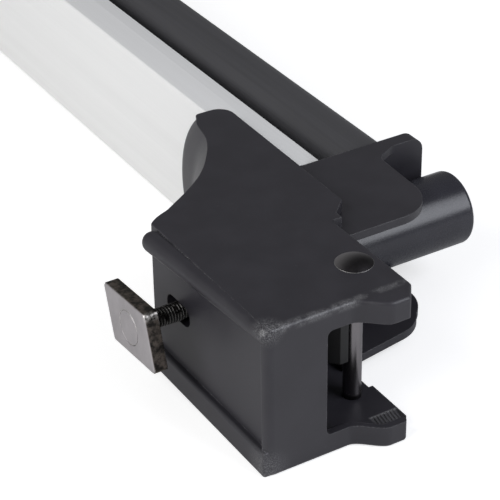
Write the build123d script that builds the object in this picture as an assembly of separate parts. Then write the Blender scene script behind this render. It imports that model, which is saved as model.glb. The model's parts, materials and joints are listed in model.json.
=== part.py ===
from build123d import *
from math import cos, hypot, pi, radians, sin, sqrt, tan
import os

# Ski rack: two clamping arms between a latch housing and a hinge housing.
# The rack lies on its side, as it is photographed.
# X points away from the car roof, Y runs along the arms from the latch end to the hinge end,
# and Z runs across the arms. All sizes are millimetres.

# Overall
rack_length = 620.0          # outer face of one housing to the outer face of the other
housing_width = 55.0         # across the arms
mid = housing_width / 2      # middle plane of everything that is centred across
running_gap = 0.4            # side play between the upper arm's cap and the latch housing

# Housing shell
plate_wall = 4.0             # side plates
base_wall = 3.8              # wall that sits on the roof bar
gusset_wall = 5.5            # thickness of the far wall where its hollow curve starts
cavity_gap = 1.1             # clearance past the lower arm's end
cavity_step = 9.0
base_face = 1.2              # recess of that wall behind the bead and the flange
fork_height = 52.0           # height of the fork at its open end
fork_shoulder = 61.5         # height of the fork beside the lower arm
fork_tip_height = 62.5
shoulder_start = 42.8        # the fork's edge steps up between these two places
shoulder_end = 51.9
base_length = 71.0           # length of the base along the roof bar's T-slot side
gusset_start = (20.0, base_length + 12.5)  # where the far edge turns into its hollow curve
gusset_radius = 64.0
gusset_top = 49.0            # height at which the hollow curve ends under the arm
tip_length = base_length + 58.3  # reach of the housing's tip under the arm
tip_radius = 6.0
crown = 12.0                 # how far the gusset bulges at its middle
crown_height = 38.0          # height over which the bulge grows
corner_radius = 3.0
edge_radius = 1.2            # soft edge round the side plates
lead_in = (1.7, 2.0)         # bevel of the fork's inner edges that guides the cap
lead_in_start = 18.4
bead_start_radius = 2.9      # rounded bead along the base's upper long edge
bead_end_radius = 3.6
bead_start_overhang = 1.0
bead_end_overhang = 4.5
bead_drop = 0.1              # step from the side face down to the bead
flange_height = 9.5          # flange along the base's other long edge
flange_overhang = 1.0
flange_radius = 1.2

# Latch housing's open end
lip_wall = 2.6
lip_height = 7.8             # lips above and below the window
window_start = 22.0
window_radius = 2.0
lip_end = 48.0
lug_start = 30.3             # the wavy lug at the free corner
lug_run = 11.5               # length of its wave
lug_reach = 7.15
lug_end = 47.4
lug_corner = 1.4
lug_foot = 0.7
ramp_near = -3.5             # ribbed ramp that falls from each plate towards its lip
ramp_far = 4.3
ramp_depth = 1.8
ramp_start = 41.4
ramp_end = 51.5
ramp_rib_pitch = 1.25
ramp_rib_depth = 0.35

# Lower arm: aluminium extrusion
arm_seat = 55.35             # height of its flat underside
lower_arm_height = 22.25
lower_arm_base_width = housing_width - 2.5
lower_arm_waist_width = housing_width - 10.0
lower_arm_waist_height = 13.65
lower_arm_top_width = housing_width - 16.8
lower_arm_wall = 1.8
lower_arm_web_spread = housing_width - 38.0  # between its two inner webs
lower_arm_rib_width = 9.0    # thick strips of its floor that take the screws
lower_arm_rib_depth = 3.8
arm_end = base_length + 14.2  # distance of its ends from the rack's ends

# Upper arm: black extrusion
arm_gap = 7.0                # between the two arms' facing surfaces
upper_arm_width = housing_width - 14.0
upper_arm_height = 23.0
upper_arm_wall = 2.0
upper_arm_back_radius = 11.5
upper_arm_front_radius = 7.0

# Rubber pads in both arms
pad_width = housing_width - 32.0
pad_seat_depth = 2.0
pad_stand = 1.0              # how far a pad stands out of its arm
pad_end = 122.0              # distance of the pads' ends from the rack's ends
pad_rib_count = 5
pad_rib_depth = 0.5
pad_rib_width = 1.6

# Upper arm's latch cap
cap_wall = 3.0
cap_floor = 28.0             # height of its lowest edge inside the fork
cap_front = 38.0             # its front edge
cap_back = 84.6              # its back, against the upper arm
cap_nose_height = 90.8
cap_nose_radius = 15.0
cap_ledge_start = (48.0, 29.6)   # near edge of the lower plate, which reaches further out
cap_ledge_nose = (84.3, 35.5)
cap_ledge_end = 60.4
cap_ledge_radius = 15.0
cap_pocket_height = 92.4
cap_pocket_end = 75.0
guard_height = 113.8         # wall behind the button
guard_wall = 5.4
guard_radius = 5.0
cap_chamfer = 4.5
tenon_length = 38.0          # tongue inside the upper arm
tenon_gap = 0.15
tenon_rib = 11.0

# Release button
button_radius = 13.3
button_top = 118.0
button_skirt = 62.0
button_axis = 65.5           # distance from the latch end
button_wall = 3.0
button_roof = 4.0
button_travel = 8.0
button_edge = 1.6
button_rib = 2.0
spring_seat = 84.0
stem_radius = 6.0
stem_gap = 0.1
wedge_reach = 20.0
stem_flat = 2.5              # flat left on the stem's end beside its wedge face

# Latch slide under the strike pin
slide_thickness = 8.0
slide_width = 20.0
slide_tip = 15.3
slide_tail = 66.0
nose_width = 15.0
nose_end = 36.0
nose_chamfer = 5.0
slide_slot_width = 13.4
slide_slot_start = 46.0
slide_gap = 0.3
wedge_gap = 0.4

# Pins
strike_radius = 3.1
strike_height = 43.5
strike_place = 18.0
pin_hole_gap = 0.05
pin_head_radius = 6.25
pin_head_height = 2.2
pin_tail_radius = 5.2
pin_tail_height = 1.8
hinge_radius = 4.0
hinge_bore_gap = 0.08
hinge_rise = 7.4             # hinge axis above the upper arm's facing surface
hinge_place = 40.0           # distance from the hinge end

# Upper arm's hinge cap
knuckle_radius = 12.0
hinge_cap_length = 24.0      # from the hinge axis to the upper arm's end
hinge_washer_radius = 9.0
hinge_washer_thickness = 1.0
hinge_side_gap = 0.1
ear_radius = 13.0
ear_foot_front = 2.0
ear_foot_back = 80.0
end_wall_height = 58.0

# T-bolt, washer and nut in each base
bolt_place = 56.0            # distance from the rack's end
bolt_across = mid + 3.0
bolt_radius = 3.0
bolt_reach = 19.0            # end of the stud inside the housing
bolt_drop = 17.0             # outer face of its plate below the base
bolt_plate_thickness = 4.8
bolt_plate_length = 28.0
bolt_plate_width = 20.0
bolt_plate_lean = 12.0       # degrees that the plate's short sides lean
bolt_plate_turn = 4.6        # degrees that it hangs turned
bolt_plate_edge = 0.8
weld_ring_radius = 6.0
weld_ring_width = 0.35
weld_ring_depth = 0.25
slot_length = 15.0
slot_width = 7.4
washer_radius = 9.0
washer_thickness = 1.5
nut_gap = 0.1
nut_flats = 10.0
nut_height = 6.0
nut_flange_radius = 7.0
nut_flange_height = 1.4
nut_bore_gap = 0.05

# Springs
button_spring_radius = 8.2
button_spring_wire = 0.7
button_spring_turns = 7
latch_spring_radius = 3.1
latch_spring_wire = 0.45
latch_spring_turns = 6
spring_end_gap = 0.1

# Screws
arm_screw_radius = 2.1
arm_screw_head = 4.0
arm_screw_head_height = 2.6
arm_screw_place = base_length + 29.0
arm_screw_spread = housing_width - 26.0
arm_screw_length = 15.0
arm_screw_seat = 50.0
cap_screw_radius = 1.7
cap_screw_head = 3.0
cap_screw_head_height = 1.6
cap_screw_places = (96.0, 112.0)
cap_screw_length = 13.0
cap_screw_bore = 20.0        # depth of their holes from the arm's facing surface
cover_screw_radius = 1.4
cover_screw_head = 2.6
cover_screw_head_height = 1.5
cover_screw_places = (45.0, 73.0)
cover_screw_across = housing_width - 21.0
cover_screw_length = 9.0
screw_gap = 0.05

# Latch cover under the slide
cover_thickness = 3.3
cover_gap = 0.2
cap_web = 3.4                # webs that guide the slide and the stem
guide_rib = 3.2
stem_web_height = 50.0

cut = 200.0                  # reach of a cutting tool past what it cuts

# Places that follow from the sizes above
far = rack_length
arm_top = arm_seat + lower_arm_height
upper_seat = arm_top + arm_gap
upper_top = upper_seat + upper_arm_height
hinge_height = upper_seat + hinge_rise
slide_top = strike_height - strike_radius - wedge_gap
slide_bottom = slide_top - slide_thickness
cover_top = slide_bottom - slide_gap
web_bottom = slide_top + wedge_gap
base_inside = base_face + base_wall


def flat(*corners):
    """Closed flat face in XY. A corner is (x, y) or, where it is rounded, (x, y, radius)."""
    points = [Vector(c[0], c[1]) for c in corners]
    radii = [c[2] if len(c) > 2 else 0.0 for c in corners]
    count = len(points)
    entries, exits, middles = [], [], []
    for i in range(count):
        here, before, after = points[i], points[i - 1], points[(i + 1) % count]
        back = (before - here).normalized()
        ahead = (after - here).normalized()
        half = radians(back.get_angle(ahead)) / 2
        reach = radii[i] / tan(half)
        entries.append(here + back * reach)
        exits.append(here + ahead * reach)
        inward = (back + ahead).normalized() if radii[i] else ahead
        middles.append(here + inward * (radii[i] / sin(half) - radii[i]))
    edges = []
    for i in range(count):
        if radii[i]:
            edges.append(ThreePointArc(entries[i], middles[i], exits[i]))
        following = (i + 1) % count
        if (entries[following] - exits[i]).length > 1e-6:
            edges.append(Line(exits[i], entries[following]))
    return make_face(edges)


def prism(face, low, high):
    """Extrude a face drawn in XY between two heights across the arms."""
    return extrude(Pos(0, 0, low) * face, amount=high - low, dir=(0, 0, 1))


def along_arms(section, start, end):
    """Extrude a section drawn as (height, across) along the arms."""
    plane = Plane(origin=(0, start, 0), x_dir=(1, 0, 0), z_dir=(0, -1, 0))
    return extrude(plane * section, amount=end - start, dir=(0, 1, 0))


def upright(section, low, high):
    """Extrude a section drawn as (along, across) away from the roof."""
    plane = Plane(origin=(low, 0, 0), x_dir=(0, 1, 0), z_dir=(1, 0, 0))
    return extrude(plane * section, amount=high - low, dir=(1, 0, 0))


def block(x, y, z):
    """Box between the two limits given on each axis."""
    size = (x[1] - x[0], y[1] - y[0], z[1] - z[0])
    return Pos((x[0] + x[1]) / 2, (y[0] + y[1]) / 2, (z[0] + z[1]) / 2) * Box(*size)


def across_rod(radius, x, y, low, high):
    return Pos(x, y, (low + high) / 2) * Cylinder(radius, high - low)


def upright_rod(radius, low, high, y, z):
    return Pos((low + high) / 2, y, z) * Rot(0, 90, 0) * Cylinder(radius, high - low)


def other_end(solid):
    """Mirror image of a latch-end solid at the hinge end."""
    return mirror(solid, about=Plane(origin=(0, far / 2, 0), z_dir=(0, 1, 0)))


def both_sides(low, high):
    """The same stretch across the arms and its mirror image in the middle plane."""
    return (low, high), (housing_width - high, housing_width - low)


# Housing outline

line_run = gusset_start[0]
line_rise = gusset_start[1] - base_length
line_length = hypot(line_run, line_rise)
gusset_centre = (gusset_start[0] - gusset_radius * line_rise / line_length,
                 gusset_start[1] + gusset_radius * line_run / line_length)


def far_edge(height):
    """Distance from the end to the gusset's edge at a height, on the outer side faces."""
    if height <= gusset_start[0]:
        return base_length + line_rise * height / line_run
    if height <= gusset_top:
        return gusset_centre[1] - sqrt(gusset_radius ** 2 - (height - gusset_centre[0]) ** 2)
    share = (height - gusset_top) / (arm_seat - gusset_top)
    top_edge = far_edge(gusset_top)
    return top_edge + (tip_length - top_edge) * share ** 2 * (3 - 2 * share)


def side_outline():
    """Outline of a side plate without the latch end's lug."""
    shape = flat((0, 0, corner_radius), (fork_height, 0), (fork_height, shoulder_start),
                 (fork_shoulder, shoulder_end), (fork_tip_height, tip_length, tip_radius),
                 (gusset_top + 1.2, tip_length, 2.0), (gusset_top, far_edge(gusset_top)),
                 gusset_start, (0, base_length))
    return shape - Pos(*gusset_centre) * Circle(gusset_radius)


def crowned_gusset():
    """Bulging underside that carries the lower arm, lofted through level sections."""
    low, high = gusset_start[0], gusset_top
    hollow = [low + (high - low) * share for share in (0.0, 0.28, 0.5, 0.7, 0.86, 1.0)]
    heights = (0.0, low / 2, *hollow, (high + arm_seat) / 2, arm_seat)
    root = shoulder_start
    sections = []
    for height in heights:
        edge = far_edge(height)
        growth = min(1.0, height / crown_height)
        bulge = 1.0 + (crown - 1.0) * sin(growth * pi / 2) ** 2
        tip = ThreePointArc((edge, 0), (edge + bulge, mid), (edge, housing_width))
        rest = Polyline((edge, housing_width), (root, housing_width), (root, 0), (edge, 0))
        plane = Plane(origin=(height, 0, 0), x_dir=(0, 1, 0), z_dir=(1, 0, 0))
        sections.append(plane * make_face([tip.edge(), *rest.edges()]))
    return loft(sections)


def lower_arm_outline():
    base, waist, top = (w / 2 for w in (lower_arm_base_width, lower_arm_waist_width,
                                        lower_arm_top_width))
    waist_height = arm_seat + lower_arm_waist_height
    return flat((arm_seat, mid - base, 0.6), (arm_seat, mid + base, 0.6),
                (waist_height, mid + waist), (arm_top, mid + top, 0.8),
                (arm_top, mid - top, 0.8), (waist_height, mid - waist))


def cavity_outline():
    """Space inside a housing, open away from the roof."""
    far_wall = arm_end + cavity_gap
    return flat((base_inside, -cut), (base_inside, base_length - base_wall - 1.2),
                (gusset_start[0], gusset_start[1] - gusset_wall),
                (gusset_start[0] + cavity_step, far_wall), (cut, far_wall), (cut, -cut))


def base_bead():
    """Round-ended bead along the base's upper long edge, a little thicker towards its far end."""
    start = Vector(bead_start_radius - bead_start_overhang, corner_radius,
                   housing_width - bead_start_radius - bead_drop)
    end = Vector(bead_end_radius - bead_end_overhang, base_length - bead_end_radius,
                 housing_width - bead_end_radius - bead_drop)
    run = (end - start).length
    lean = (bead_end_radius - bead_start_radius) / run
    near = (-bead_start_radius * lean, bead_start_radius * sqrt(1 - lean ** 2))
    away = (run - bead_end_radius * lean, bead_end_radius * sqrt(1 - lean ** 2))
    half = sqrt(0.5)
    profile = make_face([
        ThreePointArc((-bead_start_radius, 0), (-bead_start_radius * half, bead_start_radius * half), near),
        Line(near, away),
        ThreePointArc(away, (run + bead_end_radius * half, bead_end_radius * half), (run + bead_end_radius, 0)),
        Line((run + bead_end_radius, 0), (-bead_start_radius, 0))])
    axis = (end - start).normalized()
    turned = Plane(origin=start, x_dir=axis, z_dir=axis.cross(Vector(0, 0, 1)))
    return turned * revolve(profile, axis=Axis.X)


def base_flange():
    shape = flat((-flange_overhang, 0, flange_radius), (base_inside, 0),
                 (base_inside, flange_height), (-flange_overhang, flange_height, flange_radius))
    flange = along_arms(shape, 0.5, base_length - 1)
    return fillet(flange.faces().sort_by(Axis.Y)[0].edges(), flange_radius * 0.7)


def soft_edged(blank):
    """Round the edges of a housing's side faces, from its base round the open end to its shoulder."""
    front = [edge for edge in blank.edges() if abs(edge.center().Z - mid) > mid - 0.1
             and edge.center().Y < 1.0]
    return fillet(front, edge_radius)


def housing_shell(blank, end_strip):
    """Walls that the two housings share, at the latch end."""
    shell = blank + crowned_gusset()
    recess = block((-cut, base_face), (-1, far_edge(0) + crown), (0, housing_width))
    shell = shell - (recess - block((-cut, cut), (-1, corner_radius), (0, housing_width)))
    shell = shell + base_bead() + base_flange()
    inside = cavity_outline() - end_strip
    shell = shell - prism(inside, plate_wall, housing_width - plate_wall)
    shell = shell - along_arms(lower_arm_outline(), arm_end, far / 2)
    slot = Pos(bolt_place, bolt_across) * SlotOverall(slot_length, slot_width)
    shell = shell - upright(slot, -cut, base_inside + 1)
    for side in (-1, 1):
        place = mid + side * arm_screw_spread / 2
        shell = shell - upright_rod(arm_screw_head + 0.4, -cut, arm_screw_seat, arm_screw_place, place)
        shell = shell - upright_rod(arm_screw_radius + screw_gap, 0, arm_seat + 1, arm_screw_place, place)
    return shell


def rivet_holes(x, y, radius):
    """Through hole with a recess for the rivet's formed tail."""
    hole = across_rod(radius + pin_hole_gap, x, y, -1, housing_width + 1)
    return hole + across_rod(pin_tail_radius + 0.2, x, y, -1, pin_tail_height + 0.2)


def lug_outline():
    """Wavy lug: its front sweeps out, and its end slants back to the plate's corner."""
    crest = lug_start + lug_run
    wave = Bezier((lug_start, 0), (lug_start + lug_run / 3, 0), (crest - lug_run / 3, -lug_reach),
                  (crest, -lug_reach))
    swept = make_face([wave, Polyline((crest, -lug_reach), (crest, 4), (lug_start, 4), (lug_start, 0))])
    return swept + flat((crest, -lug_reach), (lug_end, -lug_reach, lug_corner),
                        (fork_height, -lug_foot, lug_corner), (fork_height, 4), (crest, 4))


def make_latch_housing():
    outline = side_outline() + lug_outline()
    near_end = Pos(lip_end - cut / 2, 0) * Rectangle(cut, 3 * lug_reach)
    strip = (outline - Pos(0, lip_wall) * outline) & near_end
    shell = housing_shell(soft_edged(prism(outline, 0, housing_width)), strip)
    upper_lip = housing_width - lip_height
    window = flat((window_start, lip_height, window_radius), (cut, lip_height),
                  (cut, upper_lip), (window_start, upper_lip, window_radius))
    shell = shell - along_arms(window, -cut, lip_wall + 1)
    for cutter in (*lip_ramp(), lead_in_bevel()):
        shell = shell - cutter - mirror(cutter, about=Plane(origin=(0, 0, mid), z_dir=(0, 0, 1)))
    return shell - rivet_holes(strike_height, strike_place, strike_radius)


def lip_ramp():
    """Cutters for the ramp behind a lip and for the grooves between its ribs."""
    fall = make_face(Polyline((ramp_far, plate_wall), (ramp_near, plate_wall - ramp_depth),
                              (ramp_near, plate_wall + 1), (ramp_far, plate_wall + 1), close=True))
    cutters = [upright(fall, ramp_start, ramp_end)]
    groove = Pos(0, -ramp_rib_depth) * fall
    count = int((ramp_end - ramp_start) / ramp_rib_pitch)
    for i in range(count):
        x = ramp_start + (i + 0.5) * ramp_rib_pitch
        cutters.append(upright(groove, x, x + ramp_rib_pitch / 2))
    return cutters


def lead_in_bevel():
    """Cutter for the bevel along the lower fork plate's inner edge."""
    depth, width = lead_in
    slope = width / depth
    start, end = fork_height - depth, fork_height + 1
    bevel = make_face(Polyline((start, plate_wall), (end, plate_wall - width - slope),
                               (end, plate_wall + 1), (start, plate_wall + 1), close=True))
    return along_arms(bevel, lead_in_start, shoulder_start)


def make_hinge_housing():
    ear = make_hull([*(Pos(hinge_height, hinge_place) * Circle(ear_radius)).edges(),
                     *flat((fork_height - 4, ear_foot_front), (fork_height, ear_foot_front),
                           (fork_shoulder, ear_foot_back), (fork_shoulder - 4, ear_foot_back)).edges()])
    outline = side_outline() + ear
    strip = Pos(end_wall_height / 2, lip_wall / 2) * Rectangle(end_wall_height, lip_wall)
    outline = outline + Pos(end_wall_height - 3, 2) * Rectangle(6, 4)
    shell = housing_shell(prism(outline, 0, housing_width), strip)
    shell = shell - rivet_holes(hinge_height, hinge_place, hinge_radius)
    return other_end(shell)


# Arms

def pad_channel(seat, depth, wall):
    """Channel section for a rubber pad, and the thicker zone round it."""
    low, high = sorted((seat, seat + depth))
    channel = Pos((low + high) / 2, mid) * Rectangle(high - low, pad_width)
    zone_low, zone_high = sorted((seat, seat + depth + (wall if depth > 0 else -wall)))
    zone = Pos((zone_low + zone_high) / 2, mid) * Rectangle(zone_high - zone_low, pad_width + 2 * wall)
    return channel, zone


def make_lower_arm():
    outer = lower_arm_outline()
    channel, zone = pad_channel(arm_top, -pad_seat_depth, lower_arm_wall)
    cells = offset(outer, -lower_arm_wall, kind=Kind.INTERSECTION) - zone
    for side in (-1, 1):
        web = Pos(arm_seat + lower_arm_height / 2, mid + side * lower_arm_web_spread / 2)
        cells = cells - web * Rectangle(lower_arm_height, lower_arm_wall)
        rib = Pos(arm_seat, mid + side * arm_screw_spread / 2)
        cells = cells - rib * Rectangle(2 * lower_arm_rib_depth, lower_arm_rib_width)
    arm = along_arms(outer - cells - channel, arm_end, far - arm_end)
    for place in (arm_screw_place, far - arm_screw_place):
        for side in (-1, 1):
            hole = upright_rod(arm_screw_radius + screw_gap, arm_seat - 1, arm_seat + 6,
                               place, mid + side * arm_screw_spread / 2)
            arm = arm - hole
    return arm


def upper_arm_sections():
    """Outer outline, inner cell and pad channel of the upper arm."""
    half = upper_arm_width / 2
    outer = flat((upper_seat, mid - half, upper_arm_front_radius),
                 (upper_seat, mid + half, upper_arm_front_radius),
                 (upper_top, mid + half, upper_arm_back_radius),
                 (upper_top, mid - half, upper_arm_back_radius))
    channel, zone = pad_channel(upper_seat, pad_seat_depth, upper_arm_wall)
    inner = flat((upper_seat + upper_arm_wall, mid - half + upper_arm_wall, 1.0),
                 (upper_seat + upper_arm_wall, mid + half - upper_arm_wall, 1.0),
                 (upper_top - upper_arm_wall, mid + half - upper_arm_wall,
                  upper_arm_back_radius - upper_arm_wall),
                 (upper_top - upper_arm_wall, mid - half + upper_arm_wall,
                  upper_arm_back_radius - upper_arm_wall))
    return outer, inner - zone, channel


upper_arm_start = cap_back
upper_arm_end = far - hinge_place - hinge_cap_length
far_screw_places = tuple(upper_arm_end + upper_arm_start - p for p in cap_screw_places)


def make_upper_arm():
    outer, inner, channel = upper_arm_sections()
    arm = along_arms(outer - inner - channel, upper_arm_start, upper_arm_end)
    for place in (*cap_screw_places, *far_screw_places):
        arm = arm - upright_rod(cap_screw_radius + screw_gap, upper_seat, upper_seat + 8, place, mid)
    return arm


def tenon(start, end):
    """Tongue that plugs an end of the upper arm, cored on both sides of its screw rib."""
    _, inner, _ = upper_arm_sections()
    section = offset(inner, -tenon_gap, kind=Kind.INTERSECTION)
    body = along_arms(section, start, end)
    low, high = sorted((start, end))
    head = start if start < end else end
    wall = 2.4
    pocket_x = (upper_seat + pad_seat_depth + upper_arm_wall + wall, upper_top - upper_arm_wall - wall)
    for side in (-1, 1):
        inner_z = mid + side * tenon_rib / 2
        outer_z = mid + side * (upper_arm_width / 2 - upper_arm_wall - 2 * wall)
        z = tuple(sorted((inner_z, outer_z)))
        y = (low + 4, high + 1) if side_is_near(head) else (low - 1, high - 4)
        body = body - block(pocket_x, y, z)
    return body


def cap_screw_holes(cap, places):
    """Pilot holes of the screws that come up from the pad channel."""
    for place in places:
        cap = cap - upright_rod(cap_screw_radius + screw_gap, upper_seat, upper_seat + cap_screw_bore,
                                place, mid)
    return cap


def side_is_near(place):
    return place < far / 2


def make_pad(seat, top, start, end):
    """Rubber strip in its channel, with ribs along the face that grips the skis."""
    low, high = sorted((seat, top))
    pad = block((low, high), (start, end), (mid - pad_width / 2, mid + pad_width / 2))
    pitch = pad_width / pad_rib_count
    face = (top - pad_rib_depth, top + 1) if top > seat else (top - 1, top + pad_rib_depth)
    for i in range(pad_rib_count + 1):
        centre = mid - pad_width / 2 + i * pitch
        half = (pitch - pad_rib_width) / 2
        pad = pad - block(face, (start - 1, end + 1), (centre - half, centre + half))
    return pad


# Upper arm's latch cap with what slides in it

stem_front = button_axis - stem_radius
wedge_start = stem_front + stem_flat


def cap_outline():
    return flat((cap_floor, cap_front, 3.0), (cap_nose_height, cap_front, cap_nose_radius),
                (cap_pocket_height, cap_pocket_end, 4.0),
                (cap_pocket_height + 8, cap_back - guard_wall, 6.0),
                (guard_height, cap_back - guard_wall), (guard_height, cap_back),
                (cap_floor + cap_chamfer, cap_back), (cap_floor, cap_back - cap_chamfer))


def cap_ledge():
    """Extra reach of the cap's lower plate, past the edge of its upper plate."""
    return flat(cap_ledge_start, (*cap_ledge_nose, cap_ledge_radius), (cap_pocket_height, cap_ledge_end),
                (cap_pocket_height - 12, cap_ledge_end + 10), (cap_ledge_start[0], cap_ledge_end + 10))


def make_upper_end_cap():
    low, high = plate_wall + running_gap, housing_width - plate_wall - running_gap
    inside = (low + cap_wall, high - cap_wall)
    cap = prism(cap_outline() + cap_ledge(), low, low + cap_wall)
    cap = cap + prism(cap_outline(), high - cap_wall, high)
    guard = flat((upper_seat - 4, low), (guard_height, low, guard_radius),
                 (guard_height, high, guard_radius), (upper_seat - 4, high))
    cap = cap & (along_arms(guard, cap_back - guard_wall - 0.01, cap_back + 1)
                 + block((0, cut), (0, cap_back - guard_wall), (low - 1, high + 1))
                 + block((0, upper_seat - 4), (0, cut), (low - 1, high + 1)))
    cap = cap + along_arms(guard, cap_back - guard_wall, cap_back)
    cap = cap + block((cover_top, upper_seat), (cap_back - cap_wall, cap_back), inside)
    web_front = cap_front + 4
    cap = cap + block((web_bottom, web_bottom + cap_web), (web_front, cap_back), inside)
    stem_web = (stem_web_height, stem_web_height + cap_web)
    cap = cap + block(stem_web, (button_axis - 2 * stem_radius - 1, cap_back), inside)
    cap = cap - upright_rod(stem_radius + stem_gap, web_bottom - 1, stem_web_height + cap_web + 1,
                            button_axis, mid)
    rib_foot = mid - slide_width / 2 - slide_gap
    for z in both_sides(rib_foot - guide_rib, rib_foot):
        cap = cap + block((cover_top, web_bottom), (web_front, slide_tail - 2), z)
    for y in cover_screw_places:
        for z in (mid - cover_screw_across / 2, mid + cover_screw_across / 2):
            cap = cap + upright_rod(cover_screw_radius + 2.0, cover_top, web_bottom, y, z)
            cap = cap - upright_rod(cover_screw_radius + screw_gap, cover_top - 1,
                                    cover_top + cover_screw_length, y, z)
    cap = cap + tenon(cap_back, cap_back + tenon_length)
    return cap_screw_holes(cap, cap_screw_places)


def make_latch_cover():
    low = plate_wall + running_gap + cap_wall + cover_gap
    cover = block((cover_top - cover_thickness, cover_top),
                  (cap_front + 4, cap_back - cap_chamfer - 1), (low, housing_width - low))
    cover = fillet(cover.edges().filter_by(Axis.X), 2.0)
    for y in cover_screw_places:
        for z in (mid - cover_screw_across / 2, mid + cover_screw_across / 2):
            cover = cover - upright_rod(cover_screw_radius + screw_gap, 0, cover_top + 1, y, z)
            cover = cover - upright_rod(cover_screw_head + 0.2, 0,
                                        cover_top - cover_thickness + cover_screw_head_height, y, z)
    return cover


def make_release_button():
    """Round button whose stem ends in a wedge face that draws the latch slide back."""
    button = upright_rod(button_radius, button_skirt, button_top, button_axis, mid)
    button = fillet(button.edges().group_by(Axis.X)[-1], button_edge)
    hollow = upright_rod(button_radius - button_wall, button_skirt - 1, button_top - button_roof,
                         button_axis, mid)
    button = button - hollow
    reach = button_radius - button_wall / 2
    ribs = block((spring_seat, button_top - button_roof / 2), (button_axis - reach, button_axis + reach),
                 (mid - button_rib / 2, mid + button_rib / 2))
    ribs = ribs + block((spring_seat, button_top - button_roof / 2),
                        (button_axis - button_rib / 2, button_axis + button_rib / 2),
                        (mid - reach, mid + reach))
    stem = upright_rod(stem_radius, slide_top, button_top - button_roof / 2, button_axis, mid)
    wedge = flat((slide_top, wedge_start), (slide_top + wedge_reach, wedge_start + wedge_reach),
                 (slide_top, wedge_start + wedge_reach))
    return button + ribs + (stem - prism(wedge, 0, housing_width))


def make_latch_slide():
    """Flat slide: nose under the strike pin, wedge ramp and slot for the button's stem."""
    nose = block((slide_bottom, slide_top), (slide_tip, nose_end + 1),
                 (mid - nose_width / 2, mid + nose_width / 2))
    lead = flat((slide_bottom, slide_tip), (slide_bottom + nose_chamfer, slide_tip),
                (slide_bottom, slide_tip + nose_chamfer))
    body = block((slide_bottom, slide_top), (nose_end, slide_tail),
                 (mid - slide_width / 2, mid + slide_width / 2))
    body = fillet(body.edges().filter_by(Axis.X), 1.0)
    ramp_top = wedge_start + wedge_gap
    slot = flat((slide_bottom - 1, slide_slot_start), (slide_top + 1, slide_slot_start),
                (slide_top + 1, ramp_top + 1), (slide_bottom - 1, ramp_top - slide_thickness - 1))
    slot_solid = prism(slot, mid - slide_slot_width / 2, mid + slide_slot_width / 2)
    return nose - prism(lead, 0, housing_width) + body - slot_solid


def coil(radius, wire, length, turns):
    """Compression spring standing on XY, from 0 to its length along Z."""
    rise = length - 2 * wire
    path = Helix(pitch=rise / turns, height=rise, radius=radius)
    start = Plane(origin=path @ 0, z_dir=path % 0)
    return Pos(0, 0, wire) * sweep(start * Circle(wire), path=path)


def make_button_spring():
    foot = stem_web_height + cap_web + spring_end_gap
    length = spring_seat - spring_end_gap - foot
    spring = coil(button_spring_radius, button_spring_wire, length, button_spring_turns)
    return Pos(foot, button_axis, mid) * Rot(0, 90, 0) * spring


def make_latch_spring():
    start = slide_tail + spring_end_gap
    length = cap_back - cap_wall - spring_end_gap - start
    spring = coil(latch_spring_radius, latch_spring_wire, length, latch_spring_turns)
    return Pos((slide_top + slide_bottom) / 2, start, mid) * Rot(-90, 0, 0) * spring


# Pins, hinge and fasteners

def make_rivet(x, y, radius):
    """Pin across the housing with a domed head and a formed tail in its recess."""
    shank = across_rod(radius, x, y, pin_tail_height / 2, housing_width + pin_head_height / 2)
    dome_radius = (pin_head_radius ** 2 + pin_head_height ** 2) / (2 * pin_head_height)
    dome = Pos(x, y, housing_width + pin_head_height - dome_radius) * Sphere(dome_radius)
    head = dome & across_rod(pin_head_radius, x, y, housing_width, housing_width + pin_head_height)
    tail = across_rod(pin_tail_radius, x, y, 0.2, pin_tail_height)
    return shank + head + tail


hinge_line = far - hinge_place


def make_hinge_cap():
    """Knuckle on the hinge pin, blended into the end of the upper arm."""
    knuckle = Pos(hinge_height, hinge_line) * Circle(knuckle_radius)
    shank = flat((upper_seat, upper_arm_end), (upper_top, upper_arm_end),
                 (upper_top, upper_arm_end + 3), (upper_seat, upper_arm_end + 3))
    web = make_hull([*knuckle.edges(), *shank.edges()])
    half = upper_arm_width / 2
    cap = prism(web, mid - half, mid + half)
    side = plate_wall + 2 * hinge_side_gap + hinge_washer_thickness
    cap = cap + across_rod(knuckle_radius, hinge_height, hinge_line, side, housing_width - side)
    outer, _, _ = upper_arm_sections()
    cap = cap & (along_arms(outer, upper_arm_end, upper_arm_end + 6)
                 + block((0, cut), (upper_arm_end + 6, far), (0, housing_width)))
    cap = cap + tenon(upper_arm_end - tenon_length, upper_arm_end)
    cap = cap - across_rod(hinge_radius + hinge_bore_gap, hinge_height, hinge_line, 0, housing_width)
    return cap_screw_holes(cap, far_screw_places)


def make_hinge_washers():
    washers = []
    for low, high in both_sides(plate_wall + hinge_side_gap,
                                plate_wall + hinge_side_gap + hinge_washer_thickness):
        disc = across_rod(hinge_washer_radius, hinge_height, hinge_line, low, high)
        washers.append(disc - across_rod(hinge_radius + hinge_bore_gap, hinge_height, hinge_line, low, high))
    return Compound(children=washers)


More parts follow.
